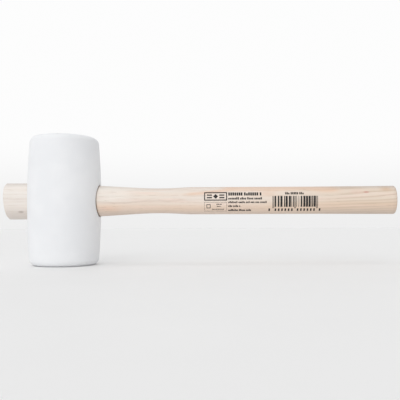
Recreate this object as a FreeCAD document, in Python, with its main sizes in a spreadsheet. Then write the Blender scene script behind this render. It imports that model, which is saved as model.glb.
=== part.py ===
"""Rubber mallet: a barrel-shaped rubber head on an oval ash handle.

The mallet stands on its lower striking face. The origin is the centre of that face, +Z runs up the
head's axis to the upper striking face, and the handle runs along +X to the butt of the grip. The
handle goes in grip first from the poll side, and its thick end jams in the tapered eye.
"""

import FreeCAD, Part

import math
import os

import Sketcher

Vector = FreeCAD.Vector

# Driving dimensions in millimetres. A "reach" is a distance from the head's axis along the handle.
DIMENSIONS = {
    # head: a barrel between two flat striking faces
    "head_length": 116.0,
    "head_diameter": 65.0,
    "face_diameter": 60.2,
    "rim_rounding": 6.0,
    "mouth_rounding": 0.8,
    # room left around the handle where it comes out of the eye on the grip side
    "eye_relief": 0.6,
    # poll end: the stub that stands out behind the head, cut a little out of square
    "poll_reach": 52.1,
    "poll_slant": 2.8,
    "poll_chamfer": 1.3,
    "stub_height": 33.0,
    "stub_depth": 23.1,
    # seat: the tapered stretch inside the eye, from seat_reach on the poll side to the neck
    "seat_reach": 34.0,
    "neck_reach": 36.0,
    "neck_height": 27.6,
    # waist and swell: the hollow for the leading hand and the rise to the grip
    "waist_reach": 86.0,
    "waist_height": 22.7,
    "waist_radius": 300.0,
    "swell_radius": 180.0,
    # grip, which widens a little towards the butt
    "grip_reach": 225.0,
    "grip_height": 24.9,
    "butt_reach": 301.2,
    "butt_height": 25.8,
    "butt_rounding": 1.6,
}

# About how steeply the handle narrows to either side of its waist, to start the solver near its answer.
WAIST_LEAN = math.radians(3.5)

# Ends of a sketch's line or arc, and an arc's centre, as the sketcher numbers them.
START, END, CENTRE = 1, 2, 3
# The sketch's own horizontal axis, whose start is the sketch's origin.
H_AXIS = -1


def make_sheet(doc):
    """The spreadsheet that holds the driving dimensions."""
    sheet = doc.addObject("Spreadsheet::Sheet", "dimensions")
    for row, (alias, value) in enumerate(DIMENSIONS.items(), start=1):
        sheet.set(f"A{row}", alias)
        sheet.set(f"B{row}", str(value))
        sheet.setAlias(f"B{row}", alias)
    doc.recompute()
    return sheet


def cell(alias):
    """The expression that reads one cell of the sheet."""
    return f"dimensions.{alias}"


def add_sketch(body, name, plane_role):
    """An empty sketch on one of the body's origin planes."""
    sketch = body.newObject("Sketcher::SketchObject", name)
    plane = next(f for f in body.Origin.OriginFeatures if f.Role == plane_role)
    sketch.AttachmentSupport = [(plane, "")]
    sketch.MapMode = "FlatFace"
    return sketch


def constrain(sketch, kind, *where):
    """A geometric constraint."""
    sketch.addConstraint(Sketcher.Constraint(kind, *where))


def bind(sketch, kind, where, start_value, expression):
    """A dimension that starts at a value and follows an expression."""
    index = sketch.addConstraint(Sketcher.Constraint(kind, *where, start_value))
    sketch.setExpression(f"Constraints[{index}]", expression)


def add_lines(sketch, corners):
    """Lines from corner to corner, joined end to end. Returns their numbers."""
    ids = []
    for a, b in zip(corners, corners[1:]):
        ids.append(sketch.addGeometry(Part.LineSegment(Vector(*a, 0), Vector(*b, 0)), False))
    for first, second in zip(ids, ids[1:]):
        constrain(sketch, "Coincident", first, END, second, START)
    return ids


def add_arc(sketch, centre, radius, from_angle, to_angle):
    """An arc that runs anticlockwise between two angles."""
    circle = Part.Circle(Vector(*centre, 0), Vector(0, 0, 1), radius)
    return sketch.addGeometry(Part.ArcOfCircle(circle, from_angle, to_angle), False)


def place(sketch, line, end, x, x_expression, y, y_expression):
    """Fixes one end of a line at a distance from the sketch's origin both ways."""
    bind(sketch, "DistanceX", (H_AXIS, START, line, end), x, x_expression)
    bind(sketch, "DistanceY", (H_AXIS, START, line, end), y, y_expression)


def add_turning(body, name, sketch, axis):
    """The solid that the sketch makes when it is turned about one of its axes."""
    turning = body.newObject("PartDesign::Revolution", name)
    turning.Profile = sketch
    turning.ReferenceAxis = (sketch, [axis])
    turning.Angle = 360
    body.Document.recompute()
    return turning


def dress_edges(body, kind, name, size_property, size_cell, wanted):
    """A fillet or chamfer on the edges of the body's present shape that pass a test."""
    base = body.Tip
    edges = [f"Edge{i}" for i, edge in enumerate(base.Shape.Edges, start=1) if wanted(edge)]
    if not edges:
        raise RuntimeError(f"{name} found no edge")
    dressing = body.newObject(kind, name)
    dressing.Base = (base, edges)
    dressing.setExpression(size_property, cell(size_cell))
    body.Document.recompute()
    if dressing.Shape.Volume >= base.Shape.Volume:
        raise RuntimeError(f"{name} took nothing off")
    return dressing


def cut_away(body, feature):
    """Recomputes a feature that cuts, and makes sure that it cut."""
    before = feature.BaseFeature.Shape.Volume
    body.Document.recompute()
    if feature.Shape.Volume >= before:
        raise RuntimeError(f"{feature.Name} took nothing off")


# ---------------------------------------------------------------------------------------- handle


def draw_handle_outline(body, sheet):
    """Half the handle's upright outline: stub, seat, neck, waist, swell, grip and butt."""
    sketch = add_sketch(body, "handle_outline", "XZ_Plane")
    poll_end = -(sheet.poll_reach + sheet.poll_slant)
    stub = sheet.stub_height / 2
    neck = (sheet.neck_reach, sheet.neck_height / 2)
    waist_centre = (sheet.waist_reach, sheet.waist_height / 2 + sheet.waist_radius)
    lean_run = sheet.waist_radius * math.sin(WAIST_LEAN)
    into_waist = (sheet.waist_reach - lean_run, sheet.waist_height / 2)
    swell_top = (sheet.waist_reach + 2 * lean_run, sheet.grip_height / 2)
    swell_centre = (swell_top[0], swell_top[1] - sheet.swell_radius)
    grip = (sheet.grip_reach, sheet.grip_height / 2)
    butt = (sheet.butt_reach, sheet.butt_height / 2)

    poll_side = [(poll_end, 0), (poll_end, stub), (-sheet.seat_reach, stub), neck, into_waist]
    poll_line, stub_line, seat_line, neck_line = add_lines(sketch, poll_side)
    down, up = math.radians(270), math.radians(90)
    waist_arc = add_arc(sketch, waist_centre, sheet.waist_radius, down - WAIST_LEAN, down + WAIST_LEAN)
    swell_arc = add_arc(sketch, swell_centre, sheet.swell_radius, up, up + WAIST_LEAN)
    grip_side = [swell_top, grip, butt, (sheet.butt_reach, 0), (poll_end, 0)]
    grip_line, flare_line, butt_line, axis_line = add_lines(sketch, grip_side)

    constrain(sketch, "Coincident", axis_line, END, poll_line, START)
    constrain(sketch, "Tangent", neck_line, END, waist_arc, START)
    constrain(sketch, "Tangent", waist_arc, END, swell_arc, END)
    constrain(sketch, "Tangent", swell_arc, START, grip_line, START)
    for upright in (poll_line, butt_line):
        constrain(sketch, "Vertical", upright)
    for level in (stub_line, grip_line):
        constrain(sketch, "Horizontal", level)
    constrain(sketch, "PointOnObject", axis_line, START, H_AXIS)
    constrain(sketch, "PointOnObject", axis_line, END, H_AXIS)

    place(sketch, stub_line, START, poll_end, f"-({cell('poll_reach')} + {cell('poll_slant')})",
          stub, f"{cell('stub_height')} / 2")
    bind(sketch, "DistanceX", (H_AXIS, START, seat_line, START), -sheet.seat_reach,
         f"-{cell('seat_reach')}")
    place(sketch, seat_line, END, neck[0], cell("neck_reach"), neck[1], f"{cell('neck_height')} / 2")
    place(sketch, waist_arc, CENTRE, waist_centre[0], cell("waist_reach"),
          waist_centre[1], f"{cell('waist_height')} / 2 + {cell('waist_radius')}")
    bind(sketch, "Radius", (waist_arc,), sheet.waist_radius, cell("waist_radius"))
    bind(sketch, "Radius", (swell_arc,), sheet.swell_radius, cell("swell_radius"))
    place(sketch, grip_line, END, grip[0], cell("grip_reach"), grip[1], f"{cell('grip_height')} / 2")
    place(sketch, flare_line, END, butt[0], cell("butt_reach"), butt[1], f"{cell('butt_height')} / 2")
    return sketch


def slant_poll_end(body, sheet):
    """Cuts the poll end a little out of square, so that its top reaches further than its foot."""
    height = sheet.stub_height
    top = -(sheet.poll_reach + sheet.poll_slant)
    foot = -(sheet.poll_reach - sheet.poll_slant)
    far = top - height
    sketch = add_sketch(body, "poll_waste", "XZ_Plane")
    corners = [(top, height), (foot, -height), (far, -height), (far, height), (top, height)]
    slant, bottom_line, far_line, top_line = add_lines(sketch, corners)
    constrain(sketch, "Coincident", top_line, END, slant, START)
    constrain(sketch, "Horizontal", bottom_line)
    constrain(sketch, "Vertical", far_line)
    constrain(sketch, "Horizontal", top_line)
    place(sketch, slant, START, top, f"-({cell('poll_reach')} + {cell('poll_slant')})",
          height, cell("stub_height"))
    place(sketch, slant, END, foot, f"-({cell('poll_reach')} - {cell('poll_slant')})",
          -height, f"-{cell('stub_height')}")
    bind(sketch, "DistanceX", (H_AXIS, START, far_line, START), far,
         f"-({cell('poll_reach')} + {cell('poll_slant')} + {cell('stub_height')})")
    pocket = body.newObject("PartDesign::Pocket", "poll_cut")
    pocket.Profile = sketch
    pocket.Type = "Length"
    pocket.SideType = "Symmetric"
    pocket.setExpression("Length", f"2 * {cell('stub_height')}")
    cut_away(body, pocket)


def build_handle(doc, sheet):
    """The ash handle: turned round about its axis, then narrowed across to an upright oval."""
    body = doc.addObject("PartDesign::Body", "handle_turning")
    outline = draw_handle_outline(body, sheet)
    add_turning(body, "turned_handle", outline, "H_Axis")
    slant_poll_end(body, sheet)
    on_poll_end = -(sheet.poll_reach - sheet.poll_slant)
    dress_edges(body, "PartDesign::Chamfer", "poll_edge", "Size", "poll_chamfer",
                lambda edge: edge.BoundBox.XMax < on_poll_end)
    dress_edges(body, "PartDesign::Fillet", "butt_edge", "Radius", "butt_rounding",
                lambda edge: edge.BoundBox.XMin > sheet.butt_reach - sheet.butt_rounding)
    handle = doc.addObject("Part::Scale", "ash_handle")
    handle.Base = body
    handle.Uniform = False
    handle.XScale = 1
    handle.setExpression("YScale", f"{cell('stub_depth')} / {cell('stub_height')}")
    handle.ZScale = 1
    handle.setExpression("Placement.Base.z", f"{cell('head_length')} / 2")
    handle.Label = "ash_handle"
    return handle


# ------------------------------------------------------------------------------------------ head


def draw_barrel_outline(body, sheet):
    """Half the head's upright outline: two level faces joined by a shallow arc."""
    length = sheet.head_length
    face_radius = sheet.face_diameter / 2
    bulge = (sheet.head_diameter - sheet.face_diameter) / 2
    arc_radius = length ** 2 / (8 * bulge) + bulge / 2
    arc_expression = (f"{cell('head_length')}^2 / (4 * ({cell('head_diameter')} - {cell('face_diameter')}))"
                      f" + ({cell('head_diameter')} - {cell('face_diameter')}) / 4")
    half_angle = math.asin(length / 2 / arc_radius)

    sketch = add_sketch(body, "barrel_outline", "YZ_Plane")
    corners = [(face_radius, length), (0, length), (0, 0), (face_radius, 0)]
    upper_face, axis_line, lower_face = add_lines(sketch, corners)
    centre = (sheet.head_diameter / 2 - arc_radius, length / 2)
    barrel_arc = add_arc(sketch, centre, arc_radius, -half_angle, half_angle)
    constrain(sketch, "Coincident", barrel_arc, START, lower_face, END)
    constrain(sketch, "Coincident", barrel_arc, END, upper_face, START)
    constrain(sketch, "Coincident", axis_line, END, H_AXIS, START)
    constrain(sketch, "Vertical", axis_line)
    constrain(sketch, "Horizontal", upper_face)
    place(sketch, lower_face, END, face_radius, f"{cell('face_diameter')} / 2", 0, "0")
    bind(sketch, "DistanceX", (H_AXIS, START, upper_face, START), face_radius,
         f"{cell('face_diameter')} / 2")
    bind(sketch, "DistanceY", (axis_line, END, axis_line, START), length, cell("head_length"))
    bind(sketch, "Radius", (barrel_arc,), arc_radius, arc_expression)
    return sketch


def draw_eye_section(body, name, offset, height_start, height):
    """An upright oval across the eye, with the handle's proportions."""
    sketch = add_sketch(body, name, "YZ_Plane")
    sketch.setExpression("AttachmentOffset.Base.y", f"{cell('head_length')} / 2")
    sketch.setExpression("AttachmentOffset.Base.z", offset)
    flatness = f"{cell('stub_depth')} / {cell('stub_height')}"
    top = Vector(0, height_start / 2, 0)
    side = Vector(-height_start / 3, 0, 0)
    oval = sketch.addGeometry(Part.Ellipse(top, side, Vector(0, 0, 0)), False)
    sketch.exposeInternalGeometry(oval)
    tall_axis, wide_axis = oval + 1, oval + 2
    constrain(sketch, "Coincident", oval, CENTRE, H_AXIS, START)
    constrain(sketch, "Vertical", tall_axis)
    bind(sketch, "Distance", (tall_axis,), height_start, height)
    bind(sketch, "Distance", (wide_axis,), 2 * height_start / 3, f"({height}) * {flatness}")
    return sketch


def build_head(doc, sheet):
    """The rubber head: a turned barrel with rounded rims and a tapered oval eye."""
    body = doc.addObject("PartDesign::Body", "rubber_head")
    body.Label = "rubber_head"
    outline = draw_barrel_outline(body, sheet)
    add_turning(body, "barrel", outline, "V_Axis")
    dress_edges(body, "PartDesign::Fillet", "rims", "Radius", "rim_rounding",
                lambda edge: edge.BoundBox.ZLength < sheet.rim_rounding)

    eye = body.newObject("PartDesign::SubtractiveLoft", "eye")
    eye.Profile = draw_eye_section(body, "eye_poll_section", f"-{cell('seat_reach')}",
                                   sheet.stub_height, cell("stub_height"))
    eye.Sections = [draw_eye_section(body, "eye_grip_section", cell("neck_reach"),
                                     sheet.neck_height + 2 * sheet.eye_relief,
                                     f"{cell('neck_height')} + 2 * {cell('eye_relief')}")]
    eye.Ruled = True
    cut_away(body, eye)

    middle = sheet.head_length / 2
    dress_edges(body, "PartDesign::Fillet", "mouths", "Radius", "mouth_rounding",
                lambda edge: abs(edge.CenterOfMass.z - middle) < sheet.stub_height / 4
                and edge.BoundBox.XLength < sheet.head_diameter / 2)
    return body


# ----------------------------------------------------------------------------------------- output


def check(doc, parts):
    """Stops if any object failed, or any part isn't one valid solid."""
    for item in doc.Objects:
        if "Invalid" in item.State or "Error" in item.State:
            raise RuntimeError(f"{item.Name} failed: {item.State}")
    for part in parts:
        shape = part.Shape
        if shape.isNull() or not shape.isValid() or len(shape.Solids) != 1:
            raise RuntimeError(f"{part.Label} isn't one valid solid")


def main():
    doc = FreeCAD.newDocument("rubber_mallet")
    sheet = make_sheet(doc)
    parts = [build_head(doc, sheet), build_handle(doc, sheet)]
    doc.recompute()
    check(doc, parts)
    os.makedirs("parts", exist_ok=True)
    for part in parts:
        part.Shape.exportStep(f"parts/{part.Label}.step")
        box = part.Shape.optimalBoundingBox(True, False)
        print(f"{part.Label}: {part.Shape.Volume / 1000:.1f} cm3,"
              f" {box.XLength:.2f} x {box.YLength:.2f} x {box.ZLength:.2f} mm")


main()
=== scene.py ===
"""Looks of the rubber mallet: moulded white rubber head, pale ash handle, ink marks, studio.

Places in materials are in millimetres: x runs along the handle from the head's axis, y from the
printed side to the back, and z up from the handle's axis.
"""

import math
import random

import bpy
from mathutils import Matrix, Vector
from mathutils.bvhtree import BVHTree


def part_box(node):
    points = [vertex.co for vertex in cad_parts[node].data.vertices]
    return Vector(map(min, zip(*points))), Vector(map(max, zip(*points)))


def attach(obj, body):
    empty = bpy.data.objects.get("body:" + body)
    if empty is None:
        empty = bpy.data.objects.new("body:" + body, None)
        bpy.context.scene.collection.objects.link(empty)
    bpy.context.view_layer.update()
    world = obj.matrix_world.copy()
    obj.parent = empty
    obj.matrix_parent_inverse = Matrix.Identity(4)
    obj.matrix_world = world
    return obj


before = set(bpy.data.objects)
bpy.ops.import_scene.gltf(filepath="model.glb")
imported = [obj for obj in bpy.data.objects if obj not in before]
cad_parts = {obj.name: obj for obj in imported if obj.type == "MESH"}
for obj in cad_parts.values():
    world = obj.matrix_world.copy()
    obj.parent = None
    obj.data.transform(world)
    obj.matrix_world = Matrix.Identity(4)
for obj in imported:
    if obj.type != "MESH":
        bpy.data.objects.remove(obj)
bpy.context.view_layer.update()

MM = 0.001

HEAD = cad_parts["rubber_head"]
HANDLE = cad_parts["ash_handle"]
HEAD_LOW, HEAD_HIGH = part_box("rubber_head")
HANDLE_LOW, HANDLE_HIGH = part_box("ash_handle")
HEAD_LENGTH = (HEAD_HIGH.z - HEAD_LOW.z) / MM
HEAD_RADIUS = HEAD_HIGH.y / MM
AXIS_HEIGHT = (HANDLE_HIGH.z + HANDLE_LOW.z) / 2
BUTT = HANDLE_HIGH.x / MM


class Graph:
    """Adds nodes to one material. Most calls return the output socket of the node that they add."""

    def __init__(self, name):
        self.material = bpy.data.materials.new(name)
        self.material.use_nodes = True
        self.tree = self.material.node_tree
        self.shader = self.tree.nodes["Principled BSDF"]

    def add(self, kind, *values, **settings):
        """Adds a node, feeds its first inputs, and returns the node itself."""
        node = self.tree.nodes.new(kind)
        for key, value in settings.items():
            setattr(node, key, value)
        for socket, value in zip(node.inputs, values):
            self.feed(socket, value)
        return node

    def feed(self, socket, value):
        """Links a socket, or sets a number or a colour."""
        if isinstance(value, bpy.types.NodeSocket):
            self.tree.links.new(value, socket)
        else:
            socket.default_value = value

    def math(self, operation, a, b=0.0):
        return self.add("ShaderNodeMath", a, b, operation=operation).outputs[0]

    def length(self, *parts):
        """The length of the vector with these parts."""
        vector = self.add("ShaderNodeCombineXYZ", *parts).outputs[0]
        return self.add("ShaderNodeVectorMath", vector, operation="LENGTH").outputs["Value"]

    def place(self):
        """The surface point: x, y and z, in millimetres."""
        spot = self.add("ShaderNodeTexCoord").outputs["Object"]
        lift = (0.0, 0.0, AXIS_HEIGHT)
        centred = self.add("ShaderNodeVectorMath", spot, lift, operation="SUBTRACT").outputs[0]
        scale = self.add("ShaderNodeVectorMath", centred, (1 / MM,) * 3, operation="MULTIPLY")
        return scale.outputs[0]

    def split(self, vector):
        return self.add("ShaderNodeSeparateXYZ", vector).outputs

    def noise(self, place, per_mm, detail=2.0, roughness=0.5):
        """Smooth noise from 0 to 1, with so many waves in a millimetre along x, y and z."""
        stretched = self.add("ShaderNodeVectorMath", place, per_mm, operation="MULTIPLY").outputs[0]
        node = self.add("ShaderNodeTexNoise")
        self.feed(node.inputs["Vector"], stretched)
        node.inputs["Scale"].default_value = 1.0
        node.inputs["Detail"].default_value = detail
        node.inputs["Roughness"].default_value = roughness
        return node.outputs[0]

    def span(self, value, from_low, from_high, to_low=0.0, to_high=1.0):
        """Maps a range of values smoothly to another, and holds its ends."""
        node = self.add("ShaderNodeMapRange", value, from_low, from_high, to_low, to_high,
                        interpolation_type="SMOOTHSTEP")
        return node.outputs[0]

    def bell(self, value, centre, half_width):
        """One at a value, and zero from half a width away."""
        distance = self.math("ABSOLUTE", self.math("SUBTRACT", value, centre))
        return self.span(distance, 0.0, half_width, 1.0, 0.0)

    def product(self, *factors):
        result = factors[0]
        for factor in factors[1:]:
            result = self.math("MULTIPLY", result, factor)
        return result

    def mix(self, factor, a, b):
        """Blends two colours. Inputs 6 and 7 and output 2 are the blend node's colour sockets."""
        node = self.add("ShaderNodeMix", data_type="RGBA")
        self.feed(node.inputs["Factor"], factor)
        for socket, value in ((node.inputs[6], a), (node.inputs[7], b)):
            self.feed(socket, (*value, 1.0) if isinstance(value, tuple) else value)
        return node.outputs[2]

    def tint(self, colour, where, strength, tone):
        """Moves a colour towards a tone, by the strength where the mask is one."""
        return self.mix(self.math("MULTIPLY", where, strength), colour, tone)

    def bump(self, height, depth):
        """The normal that a relief makes, so many metres deep."""
        node = self.add("ShaderNodeBump")
        node.inputs["Strength"].default_value = 1.0
        node.inputs["Distance"].default_value = depth
        self.feed(node.inputs["Height"], height)
        return node.outputs[0]

    def finish(self, colour, roughness, normal, gloss):
        """Feeds the shader and returns the material. Gloss is its specular level."""
        self.feed(self.shader.inputs["Base Color"], colour)
        self.feed(self.shader.inputs["Roughness"], roughness)
        self.feed(self.shader.inputs["Normal"], normal)
        self.shader.inputs["Specular IOR Level"].default_value = gloss
        return self.material


# ---------------------------------------------------------------------------------------- rubber

RUBBER_DULL = (0.845, 0.856, 0.876)
RUBBER_BRIGHT = (0.880, 0.889, 0.904)
RUBBER_SPECK = (0.70, 0.69, 0.67)
RUBBER_SCUFF = (0.60, 0.60, 0.59)
# How far in from each striking face the scuffs reach.
SCUFF_REACH = 7.0


def rubber_material():
    """Matt white rubber: faint clouds from the moulding, fine pebble, scuffs round the two rims."""
    g = Graph("white_rubber")
    place = g.place()
    z = g.split(place)[2]
    clouds = g.noise(place, (0.03,) * 3, 3.0, 0.55)
    specks = g.noise(place, (0.9,) * 3, 3.0, 0.6)
    pebble = g.noise(place, (2.2,) * 3)

    from_end = g.math("SUBTRACT", HEAD_LENGTH / 2, g.math("ABSOLUTE", z))
    scuffs = g.noise(place, (0.35, 0.12, 0.5), 4.0, 0.65)
    scuff = g.product(g.span(scuffs, 0.52, 0.7), g.span(from_end, SCUFF_REACH, 0.5))

    colour = g.mix(g.span(clouds, 0.35, 0.7), RUBBER_DULL, RUBBER_BRIGHT)
    colour = g.mix(g.span(specks, 0.62, 0.8, 0.0, 0.10), colour, RUBBER_SPECK)
    colour = g.tint(colour, scuff, 0.16, RUBBER_SCUFF)
    unevenness = g.math("ADD", clouds, g.math("MULTIPLY", scuff, 0.4))
    roughness = g.span(unevenness, 0.3, 0.9, 0.55, 0.72)
    relief = g.math("SUBTRACT", pebble, g.math("MULTIPLY", scuff, 1.5))
    return g.finish(colour, roughness, g.bump(relief, 0.03 * MM), 0.35)


# ------------------------------------------------------------------------------------------ wood

PALE_BY_HEAD = (0.825, 0.745, 0.672)
PALE_BY_BUTT = (0.790, 0.680, 0.572)
WARM_BY_HEAD = (0.855, 0.690, 0.568)
WARM_BY_BUTT = (0.770, 0.605, 0.470)
PINK_BLOTCH = (0.860, 0.690, 0.600)
# Painted highlight, laid on the upper half of the neck.
NECK_HIGHLIGHT = (0.90, 0.855, 0.795)
STUB_WOOD = (0.845, 0.805, 0.765)
UNDER_BAND_BROWN = (0.74, 0.52, 0.36)
ORANGE_WOOD = (0.83, 0.55, 0.39)
BROWN_WOOD = (0.66, 0.43, 0.26)
GROWTH_LINE = (0.60, 0.45, 0.33)
MIDDLE_LINE = (0.64, 0.52, 0.44)
DARK_FIBRE = (0.66, 0.54, 0.44)
DARK_PORE = (0.38, 0.26, 0.17)
# Painted shade for the top, the underside and the butt's rim.
SHADED_WOOD = (0.50, 0.44, 0.40)
BUTT_RIM_SHADE = (0.44, 0.34, 0.27)
END_GRAIN = (0.62, 0.47, 0.33)
PALE_RAY = (0.80, 0.68, 0.55)
BLUSH = (0.80, 0.55, 0.47)
RED_FLECK = (0.58, 0.24, 0.20)
DARK_KNOT = (0.24, 0.17, 0.13)
# Painted shadow in the gap at the eye's mouth.
MOUTH_SHADOW = (0.16, 0.115, 0.08)

# The growth rings: how thick one is, how far they waver in rings, and where the pith lies.
RING_WIDTH = 2.55
RING_WAVER = 1.1
PITH_BEHIND = 38.0
PITH_BELOW = 62.0
# Where the grain starts to rise towards the butt, and its rise there per square of the distance.
RUN_OUT_START = 205.0
RUN_OUT_RATE = 0.00040


def growth_rings(g, place, x, y, z):
    """How much early wood shows at a point: 1 in the middle of each ring's dark pore band.

    The rings lie nearly level round a pith well below and behind the handle. They rise towards the
    butt, because the stick's grain runs out there.
    """
    past_print = g.math("MAXIMUM", g.math("SUBTRACT", x, RUN_OUT_START), 0.0)
    run_out = g.product(past_print, past_print, RUN_OUT_RATE)
    ripple = g.noise(place, (0.012, 0.2, 0.2))
    depth = g.math("SUBTRACT", y, PITH_BEHIND)
    height = g.math("ADD", g.math("SUBTRACT", z, run_out), PITH_BELOW)
    from_pith = g.length(0.0, depth, height)
    waver = g.math("MULTIPLY", ripple, RING_WAVER)
    rings = g.math("ADD", g.math("DIVIDE", from_pith, RING_WIDTH), waver)
    ring = g.math("FRACT", rings)
    return g.product(g.span(ring, 0.0, 0.16), g.span(ring, 0.55, 0.16))


def orange_streaks(g, x, z, waver):
    """How far the pale wood turns orange in the few streaks by the neck and round the print."""
    high = g.math("ADD", z, g.math("MULTIPLY", waver, 3.0))
    climb = g.math("MULTIPLY", g.math("SUBTRACT", x, 122.0), 0.09)
    rising = g.math("SUBTRACT", high, climb)
    ahead = g.product(g.span(x, 105.0, 118.0), g.span(x, 158.0, 140.0))
    ahead_of_print = g.product(ahead, g.bell(rising, 6.4, 2.6))
    over = g.product(g.span(x, 138.0, 152.0), g.span(x, 252.0, 242.0))
    over_print = g.product(over, g.span(high, 7.2, 9.4), 0.9)
    amid_print = g.product(g.bell(x, 184.0, 14.0), g.bell(high, 6.0, 4.0), 0.7)
    past_bars = g.product(g.bell(x, 238.0, 20.0), g.bell(high, 8.2, 3.2), 0.7)
    under_neck = g.product(g.bell(x, 42.0, 16.0), g.bell(high, -7.5, 4.0), 0.8)
    total = ahead_of_print
    for streak in (over_print, amid_print, past_bars, under_neck):
        total = g.math("ADD", total, streak)
    return g.math("MINIMUM", total, 1.0)


def ground_colour(g, x, z, streak, blotch):
    """Pale by the head, warmer towards the butt, and warmer below than above."""
    to_butt = g.span(x, 120.0, 290.0)
    drift = g.math("MULTIPLY", g.math("SUBTRACT", streak, 0.5), 1.8)
    warmth = g.math("ADD", drift, g.span(z, 3.0, -5.0))
    warmth = g.math("MINIMUM", g.math("MAXIMUM", warmth, 0.0), 1.0)
    pale = g.mix(to_butt, PALE_BY_HEAD, PALE_BY_BUTT)
    warm = g.mix(to_butt, WARM_BY_HEAD, WARM_BY_BUTT)
    colour = g.mix(warmth, pale, warm)
    return g.mix(g.span(blotch, 0.50, 0.68, 0.0, 0.55), colour, PINK_BLOTCH)


def add_patches(g, colour, x, y, z, waver):
    """Stretches of the stick that are paler or browner than the rest, with a painted highlight on the
    upper half of the neck.
    """
    # painted highlight: the upper half of the neck is lightened
    painted_neck_highlight = g.product(g.bell(x, 42.0, 36.0), g.span(z, -5.0, 2.5))
    colour = g.tint(colour, painted_neck_highlight, 0.66, NECK_HIGHLIGHT)
    # browner and darker along the underside, from the waist to the butt
    under_band = g.product(g.bell(z, -7.5, 4.5), g.span(x, 50.0, 110.0))
    colour = g.tint(colour, under_band, 0.24, UNDER_BAND_BROWN)
    colour = g.tint(colour, g.span(x, -12.0, -24.0), 0.8, STUB_WOOD)
    colour = g.tint(colour, orange_streaks(g, x, z, waver), 0.62, ORANGE_WOOD)
    by_butt = g.product(g.bell(x, 291.5, 8.5), g.bell(z, 10.0, 4.5), g.span(y, 2.0, -1.0))
    return g.tint(colour, by_butt, 0.60, BROWN_WOOD)


def add_growth_lines(g, colour, x, z, early, blotch, waver):
    """Lines that are clear at the grip's end and faint elsewhere, but for one along the middle."""
    clearness = g.span(x, 215.0, 262.0, 0.07, 0.52)
    colour = g.mix(g.math("MULTIPLY", early, clearness), colour, GROWTH_LINE)
    fall = g.math("SUBTRACT", g.span(x, -30.0, 45.0, 1.6, -1.6), g.span(x, 50.0, 90.0, 0.0, -1.2))
    off_line = g.math("SUBTRACT", g.math("ADD", z, g.math("MULTIPLY", waver, 4.0)), fall)
    strength = g.span(blotch, 0.3, 0.6, 0.15, 0.42)
    middle = g.product(g.bell(off_line, 0.0, 1.5), g.span(x, 125.0, 96.0), strength)
    return g.mix(middle, colour, MIDDLE_LINE)


def shade_edges(g, colour, x, z, facing_z):
    """Painted shade: the top, the underside and the butt's rim are a little darker than the flanks.
    """
    by_stub = g.span(x, 0.0, -20.0, 0.27, 0.48)
    by_butt = g.span(x, 200.0, 290.0, 0.0, 0.34)
    top = g.product(g.span(facing_z, 0.50, 0.95), g.math("ADD", by_stub, by_butt))
    underside = g.product(g.span(z, -4.5, -12.5, 0.0, 0.38), g.span(x, 200.0, 290.0, 1.0, 1.3))
    colour = g.mix(g.math("ADD", top, underside), colour, SHADED_WOOD)
    return g.tint(colour, g.span(x, BUTT - 5.0, BUTT - 0.5), 0.20, BUTT_RIM_SHADE)


def show_end_grain(g, colour, place, facing_x, early):
    """End grain drinks more lacquer, so it is darker, and its rings are plain."""
    end_grain = g.span(g.math("ABSOLUTE", facing_x), 0.55, 0.9)
    colour = g.tint(colour, end_grain, 0.45, END_GRAIN)
    colour = g.tint(colour, g.product(end_grain, early), 0.32, DARK_PORE)
    rays = g.noise(place, (0.5, 2.6, 0.9), 2.0)
    return g.tint(colour, g.product(end_grain, g.span(rays, 0.55, 0.75)), 0.25, PALE_RAY)


def spot(g, x, y, z, centre_x, centre_z, half_length, half_height):
    """One inside a small oval mark on the printed side of the handle, and zero outside it."""
    along = g.math("DIVIDE", g.math("SUBTRACT", x, centre_x), half_length)
    across = g.math("DIVIDE", g.math("SUBTRACT", z, centre_z), half_height)
    return g.span(g.length(along, across, g.span(y, -2.0, 2.0, 0.0, 2.0)), 1.0, 0.3)


def add_small_marks(g, colour, x, y, z):
    """A red fleck in a faint blush on the grip, and a dark knot on the stub."""
    colour = g.tint(colour, spot(g, x, y, z, 265.0, 7.0, 9.0, 3.4), 0.30, BLUSH)
    colour = g.tint(colour, spot(g, x, y, z, 273.4, 6.8, 3.6, 1.3), 0.62, RED_FLECK)
    return g.tint(colour, spot(g, x, y, z, -36.6, -9.9, 3.6, 1.4), 0.45, DARK_KNOT)


def add_mouth_shadow(g, colour, x, y, z):
    """Painted shadow in the gap where the handle comes out of the rubber, stronger below."""
    outside_head = g.math("SUBTRACT", g.length(x, y, 0.0), HEAD_RADIUS)
    by_mouth = g.product(g.span(outside_head, 0.7, -0.4), g.span(x, 0.0, 5.0))
    return g.mix(g.product(by_mouth, g.span(z, 8.0, -8.0, 0.5, 0.9)), colour, MOUTH_SHADOW)


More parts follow.
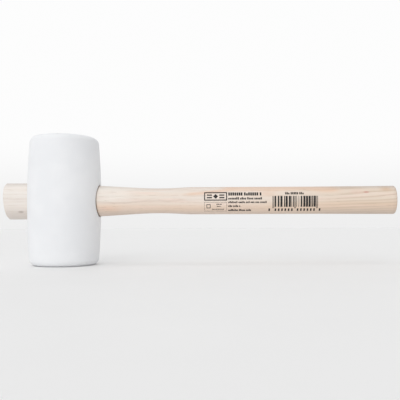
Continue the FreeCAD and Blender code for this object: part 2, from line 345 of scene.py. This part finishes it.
def wood_material():
    """Pale ash: growth rings along the handle, pores in their early wood, and a thin dull lacquer."""
    g = Graph("ash_wood")
    place = g.place()
    x, y, z = g.split(place)
    facing_x, _, facing_z = g.split(g.add("ShaderNodeTexCoord").outputs["Normal"])
    early = growth_rings(g, place, x, y, z)
    fibre = g.noise(place, (0.03, 1.7, 1.7), 4.0, 0.6)
    streak = g.noise(place, (0.007, 0.17, 0.17))
    blotch = g.noise(place, (0.022, 0.30, 0.30), 3.0)
    waver = g.math("SUBTRACT", g.noise(place, (0.03, 0.0, 0.0)), 0.5)
    pores = g.noise(place, (0.12, 3.4, 3.4), 1.0)
    pore = g.math("MULTIPLY", g.span(pores, 0.56, 0.68), g.span(early, 0.2, 0.8, 0.12, 1.0))

    colour = ground_colour(g, x, z, streak, blotch)
    colour = add_patches(g, colour, x, y, z, waver)
    colour = add_growth_lines(g, colour, x, z, early, blotch, waver)
    colour = g.mix(g.span(fibre, 0.42, 0.62, 0.0, 0.16), colour, DARK_FIBRE)
    colour = g.tint(colour, pore, 0.30, DARK_PORE)
    colour = shade_edges(g, colour, x, z, facing_z)
    colour = show_end_grain(g, colour, place, facing_x, early)
    colour = add_small_marks(g, colour, x, y, z)
    colour = add_mouth_shadow(g, colour, x, y, z)

    roughness = g.span(fibre, 0.3, 0.7, 0.42, 0.58)
    relief = g.math("SUBTRACT", g.math("MULTIPLY", fibre, 0.4), pore)
    return g.finish(colour, roughness, g.bump(relief, 0.04 * MM), 0.4)


# ------------------------------------------------------------------------------------------- ink

# Every mark is a plain four-cornered block: no letters and no digits, and the bars stand for no
# number. Places on the print are (x, z) in millimetres, z up from the handle's axis.

INK_FULL = (0.013, 0.012, 0.012)
INK_THIN = (0.055, 0.049, 0.045)

# Widest cell of an ink film, and how far the film stands out of the wood and goes into it.
FILM_CELL = 0.9
FILM_LIFT = 0.05 * MM

# A row of blocks: block width and gap as shares of the row's height, low blocks' height as a share
# of it, the extra space between words in gaps, and how few and how many blocks make a word.
BLOCK_WIDTH = 0.52
BLOCK_GAP = 0.15
LOW_BLOCK = 0.72
WORD_SPACE = 2.4
SHORTEST_WORD = 3
LONGEST_WORD = 8

# Rows of text: left end of them all, then each one's right end, foot, top, share of tall blocks
# and random seed.
TEXT_LEFT = 149.2
TEXT_ROWS = [
    (179.3, 4.1, 6.9, 0.9, 35),
    (180.7, 0.5, 2.6, 0.5, 30),
    (184.0, -2.7, -0.9, 0.2, 34),
    (161.0, -6.1, -4.3, 0.2, 32),
    (170.5, -9.7, -8.0, 0.4, 38),
]

# Thinnest bar, in millimetres, and the bars' and spaces' widths to draw from, in thinnest bars.
BAR_MODULE = 0.47
BAR_WIDTHS = (1, 2, 3, 3, 4)
BAR_SPACES = (1, 1, 2, 2, 3)
BAR_SEED = 11

# Blocks under the bars: each group's left end and count, then their foot, top, width and step.
TALLY_GROUPS = [(185.4, 1), (191.0, 6), (211.0, 6), (230.8, 1)]
TALLY_FOOT = -9.8
TALLY_TOP = -7.6
TALLY_WIDTH = 1.35
TALLY_STEP = 2.97

# Dashes of the dotted frame: line thickness, length and step, and how far above the frame's foot
# the upright ones start.
DASH_LINE = 0.35
DASH_LENGTH = 0.6
DASH_STEP = 1.16
DASH_START = 1.1


def ink_material():
    """Thin black ink that has soaked a little into the wood."""
    g = Graph("black_ink")
    place = g.place()
    soak = g.noise(place, (0.5, 2.5, 2.5), 3.0)
    colour = g.mix(g.span(soak, 0.4, 0.75), INK_FULL, INK_THIN)
    roughness = g.span(soak, 0.3, 0.7, 0.50, 0.68)
    return g.finish(colour, roughness, g.bump(soak, 0.01 * MM), 0.3)


def block(x_low, x_high, z_low, z_high):
    """The corners of a level block."""
    return [(x_low, z_low), (x_high, z_low), (x_high, z_high), (x_low, z_high)]


def lozenge(x, z, half):
    """The corners of a square that stands on one corner."""
    return [(x - half, z), (x, z - half), (x + half, z), (x, z + half)]


def frame_blocks(x_low, x_high, z_low, z_high, line):
    """Four blocks that make a square-cornered frame."""
    return [
        block(x_low, x_high, z_low, z_low + line),
        block(x_low, x_high, z_high - line, z_high),
        block(x_low, x_low + line, z_low + line, z_high - line),
        block(x_high - line, x_high, z_low + line, z_high - line),
    ]


def dotted_frame_blocks(x_low, x_high, z_low, z_high, across, upright):
    """A frame of short dashes, so many across and so many upright."""
    blocks = []
    for i in range(across):
        x = x_low + DASH_STEP * i
        blocks.append(block(x, x + DASH_LENGTH, z_high - DASH_LINE, z_high))
        blocks.append(block(x, x + DASH_LENGTH, z_low, z_low + DASH_LINE))
    for i in range(upright):
        z = z_low + DASH_START + DASH_STEP * i
        blocks.append(block(x_low, x_low + DASH_LINE, z, z + DASH_LENGTH))
        blocks.append(block(x_high - DASH_LINE, x_high, z, z + DASH_LENGTH))
    return blocks


def word_blocks(x_low, x_high, z_low, z_high, tall_share, seed):
    """A row of blocks spaced like words: some are as tall as the row, and the others are low."""
    chance = random.Random(seed)
    height = z_high - z_low
    width = BLOCK_WIDTH * height
    gap = BLOCK_GAP * height
    blocks = []
    x = x_low
    left_in_word = chance.randint(SHORTEST_WORD, LONGEST_WORD)
    while x + width <= x_high:
        tall = chance.random() < tall_share
        blocks.append(block(x, x + width, z_low, z_low + height * (1.0 if tall else LOW_BLOCK)))
        x += width + gap
        left_in_word -= 1
        if left_in_word == 0:
            x += WORD_SPACE * gap
            left_in_word = chance.randint(SHORTEST_WORD, LONGEST_WORD)
    return blocks


def bar_blocks(x_low, x_high, z_low, z_high, guard_drop):
    """Upright bars of random widths in two groups, with a pair of longer thin bars at each side."""
    chance = random.Random(BAR_SEED)
    module = BAR_MODULE
    middle = (x_low + x_high) / 2
    blocks = []
    for guard in (x_low, middle - 1.5 * module, x_high - 3 * module):
        for x in (guard, guard + 2 * module):
            blocks.append(block(x, x + module, z_low - guard_drop, z_high))
    left_group = (x_low + 4 * module, middle - 2.5 * module)
    right_group = (middle + 2.5 * module, x_high - 4 * module)
    for x, end in (left_group, right_group):
        while x < end:
            width = min(module * chance.choice(BAR_WIDTHS), end - x)
            blocks.append(block(x, x + width, z_low, z_high))
            x += width + module * chance.choice(BAR_SPACES)
    return blocks


def tally_blocks(x_low, count):
    """Evenly spaced upright blocks under the bars."""
    lefts = [x_low + i * TALLY_STEP for i in range(count)]
    return [block(x, x + TALLY_WIDTH, TALLY_FOOT, TALLY_TOP) for x in lefts]


def emblem_blocks():
    """A plain frame round a lozenge between two pairs of bars, over a fainter dotted frame."""
    blocks = frame_blocks(127.5, 148.1, -0.4, 7.2, 0.9)
    blocks.append(lozenge(137.8, 3.4, 2.2))
    for x in (129.9, 141.1):
        blocks += [block(x, x + 4.6, 1.7, 2.8), block(x, x + 4.6, 4.0, 5.1)]
    blocks += dotted_frame_blocks(127.7, 147.8, -9.85, -1.7, 18, 6)
    blocks += frame_blocks(129.6, 133.2, -7.15, -3.65, 0.5)
    blocks += word_blocks(138.4, 143.4, -4.05, -3.05, 0.3, 21)
    blocks += word_blocks(139.0, 142.6, -5.95, -4.95, 0.3, 22)
    blocks += word_blocks(134.5, 146.0, -8.45, -7.65, 0.2, 23)
    return blocks


def text_blocks():
    """Five rows of blocks where a label would have its lines of text."""
    blocks = []
    for x_high, z_low, z_high, tall_share, seed in TEXT_ROWS:
        blocks += word_blocks(TEXT_LEFT, x_high, z_low, z_high, tall_share, seed)
    return blocks


def counter_blocks():
    """The row over the bars and the groups under them."""
    blocks = word_blocks(200.3, 217.0, 4.9, 7.0, 0.9, 43)
    for x_low, count in TALLY_GROUPS:
        blocks += tally_blocks(x_low, count)
    return blocks


def handle_skin():
    """The handle's surface, for laying ink on."""
    mesh = HANDLE.data
    return BVHTree.FromPolygons([v.co for v in mesh.vertices], [p.vertices for p in mesh.polygons])


def film_points(corners, columns, rows, skin):
    """Points of a film over one block: its outer layer first, then its inner one."""
    (ax, az), (bx, bz), (cx, cz), (dx, dz) = corners
    points = []
    for side in (1, -1):
        for j in range(rows + 1):
            for i in range(columns + 1):
                u, v = i / columns, j / rows
                x = (1 - v) * (ax + (bx - ax) * u) + v * (dx + (cx - dx) * u)
                z = (1 - v) * (az + (bz - az) * u) + v * (dz + (cz - dz) * u)
                ahead = Vector((x * MM, HANDLE_LOW.y - 0.1, AXIS_HEIGHT + z * MM))
                hit = skin.ray_cast(ahead, Vector((0, 1, 0)))[0]
                outward = Vector((0, hit.y, hit.z - AXIS_HEIGHT)).normalized()
                points.append(hit + outward * FILM_LIFT * side)
    return points


def print_block(corners, skin, verts, faces):
    """Adds one block to a mesh as a closed film that wraps round the printed side of the handle."""
    (ax, az), (bx, bz), _, (dx, dz) = corners
    columns = max(1, math.ceil(math.hypot(bx - ax, bz - az) / FILM_CELL))
    rows = max(1, math.ceil(math.hypot(dx - ax, dz - az) / FILM_CELL))
    start = len(verts)
    verts += film_points(corners, columns, rows, skin)

    def number(side, i, j):
        return start + (side * (rows + 1) + j) * (columns + 1) + i

    for j in range(rows):
        for i in range(columns):
            faces.append([number(0, i, j), number(0, i + 1, j),
                          number(0, i + 1, j + 1), number(0, i, j + 1)])
            faces.append([number(1, i, j), number(1, i, j + 1),
                          number(1, i + 1, j + 1), number(1, i + 1, j)])
    rim = [(i, 0) for i in range(columns)] + [(columns, j) for j in range(rows)]
    rim += [(i, rows) for i in range(columns, 0, -1)] + [(0, j) for j in range(rows, 0, -1)]
    for (i, j), (k, m) in zip(rim, rim[1:] + rim[:1]):
        faces.append([number(0, i, j), number(1, i, j), number(1, k, m), number(0, k, m)])


def add_print():
    """The ink on the grip, in four pieces that ride with the handle."""
    material = ink_material()
    skin = handle_skin()
    pieces = {
        "ink_emblem": emblem_blocks(),
        "ink_text_rows": text_blocks(),
        "ink_bars": bar_blocks(188.9, 229.6, -6.2, 3.6, 1.2),
        "ink_counters": counter_blocks(),
    }
    for name, blocks in pieces.items():
        verts, faces = [], []
        for corners in blocks:
            print_block(corners, skin, verts, faces)
        mesh = bpy.data.meshes.new(name)
        mesh.from_pydata(verts, [], faces)
        mesh.materials.append(material)
        piece = bpy.data.objects.new(name, mesh)
        bpy.context.scene.collection.objects.link(piece)
        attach(piece, "root")


# ----------------------------------------------------------------------------------------- studio

FLOOR_HALF = 4.0
# Brightness of the surroundings: where they meet the floor, high on the backdrop, and high in the
# room on the other sides.
HORIZON_LEVEL = 0.86
BACKDROP_LEVEL = 0.98
ROOM_LEVEL = 0.455

# The camera stands in front of the print, nearly level and turned a hair. Its shifts, in widths of
# the picture, place the mallet in the frame.
CAMERA_PLACE = (0.1375, -0.467, 0.0364)
CAMERA_TILT = 90.91
CAMERA_ROLL = 0.246
CAMERA_LENS = 46.0
CAMERA_SHIFT = (-0.0385, 0.0403)


def add_floor():
    """A plain pale floor with a satin sheen."""
    g = Graph("studio_floor")
    grain = g.noise(g.place(), (0.02,) * 3)
    g.feed(g.shader.inputs["Base Color"], g.mix(grain, (0.86, 0.86, 0.86), (0.88, 0.88, 0.88)))
    g.shader.inputs["Roughness"].default_value = 0.6
    g.shader.inputs["Specular IOR Level"].default_value = 0.6
    mesh = bpy.data.meshes.new("studio_floor")
    half = FLOOR_HALF
    corners = [(-half, -half, 0), (half, -half, 0), (half, half, 0), (-half, half, 0)]
    mesh.from_pydata(corners, [], [(0, 1, 2, 3)])
    mesh.materials.append(g.material)
    floor = bpy.data.objects.new("studio_floor", mesh)
    bpy.context.scene.collection.objects.link(floor)


def add_world():
    """Soft surroundings: a bright backdrop behind the mallet, and a dimmer room elsewhere."""
    world = bpy.data.worlds.new("studio")
    world.use_nodes = True
    nodes, links = world.node_tree.nodes, world.node_tree.links
    split = nodes.new("ShaderNodeSeparateXYZ")
    links.new(nodes.new("ShaderNodeTexCoord").outputs["Generated"], split.inputs[0])

    def ramp(value, from_low, from_high, to_low, to_high):
        node = nodes.new("ShaderNodeMapRange")
        node.interpolation_type = "SMOOTHSTEP"
        links.new(value, node.inputs[0])
        for socket, number in zip(node.inputs[1:], (from_low, from_high, to_low, to_high)):
            socket.default_value = number
        return node.outputs["Result"]

    # every side is as bright as the floor at the horizon: the backdrop brightens above it, the
    # room dims
    backdrop = ramp(split.outputs["Z"], 0.0, 0.16, HORIZON_LEVEL, BACKDROP_LEVEL)
    room = ramp(split.outputs["Z"], 0.40, 0.0, ROOM_LEVEL, HORIZON_LEVEL)
    towards_backdrop = ramp(split.outputs["Y"], 0.3, 0.75, 0.0, 1.0)
    # inputs 0, 2 and 3 are the blend node's factor and its two numbers
    blend = nodes.new("ShaderNodeMix")
    links.new(towards_backdrop, blend.inputs[0])
    links.new(room, blend.inputs[2])
    links.new(backdrop, blend.inputs[3])
    background = nodes["Background"]
    background.inputs["Color"].default_value = (1.0, 1.0, 1.0, 1.0)
    links.new(blend.outputs[0], background.inputs["Strength"])
    bpy.context.scene.world = world


def add_light(name, azimuth, elevation, spread, level):
    """Soft light from one side of the sky. Azimuth 0 is in front, and 90 beyond the butt.

    The spread is an angle, and a white surface that faces the light gains the level in brightness.
    """
    data = bpy.data.lights.new(name, "SUN")
    data.angle = math.radians(spread)
    data.energy = level * math.pi
    side, rise = math.radians(azimuth), math.radians(elevation)
    level_part = math.cos(rise)
    away = Vector((math.sin(side) * level_part, -math.cos(side) * level_part, math.sin(rise)))
    lamp = bpy.data.objects.new(name, data)
    lamp.rotation_euler = away.to_track_quat("Z", "Y").to_euler()
    bpy.context.scene.collection.objects.link(lamp)


def add_studio():
    bpy.context.scene.view_settings.view_transform = "Standard"
    add_world()
    add_floor()
    add_light("key", azimuth=-10, elevation=25, spread=50, level=0.28)
    add_light("overhead", azimuth=-60, elevation=75, spread=60, level=0.25)
    add_light("fill", azimuth=-95, elevation=10, spread=60, level=0.07)


def add_camera():
    data = bpy.data.cameras.new("camera")
    data.sensor_width = 36.0
    data.lens = CAMERA_LENS
    data.shift_x, data.shift_y = CAMERA_SHIFT
    camera = bpy.data.objects.new("camera", data)
    camera.location = CAMERA_PLACE
    camera.rotation_euler = (math.radians(CAMERA_TILT), math.radians(CAMERA_ROLL), 0.0)
    bpy.context.scene.collection.objects.link(camera)
    bpy.context.scene.camera = camera


def dress(node, material):
    """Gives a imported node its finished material."""
    node.data.materials.clear()
    node.data.materials.append(material)


dress(HEAD, rubber_material())
dress(HANDLE, wood_material())
add_print()
add_studio()
add_camera()
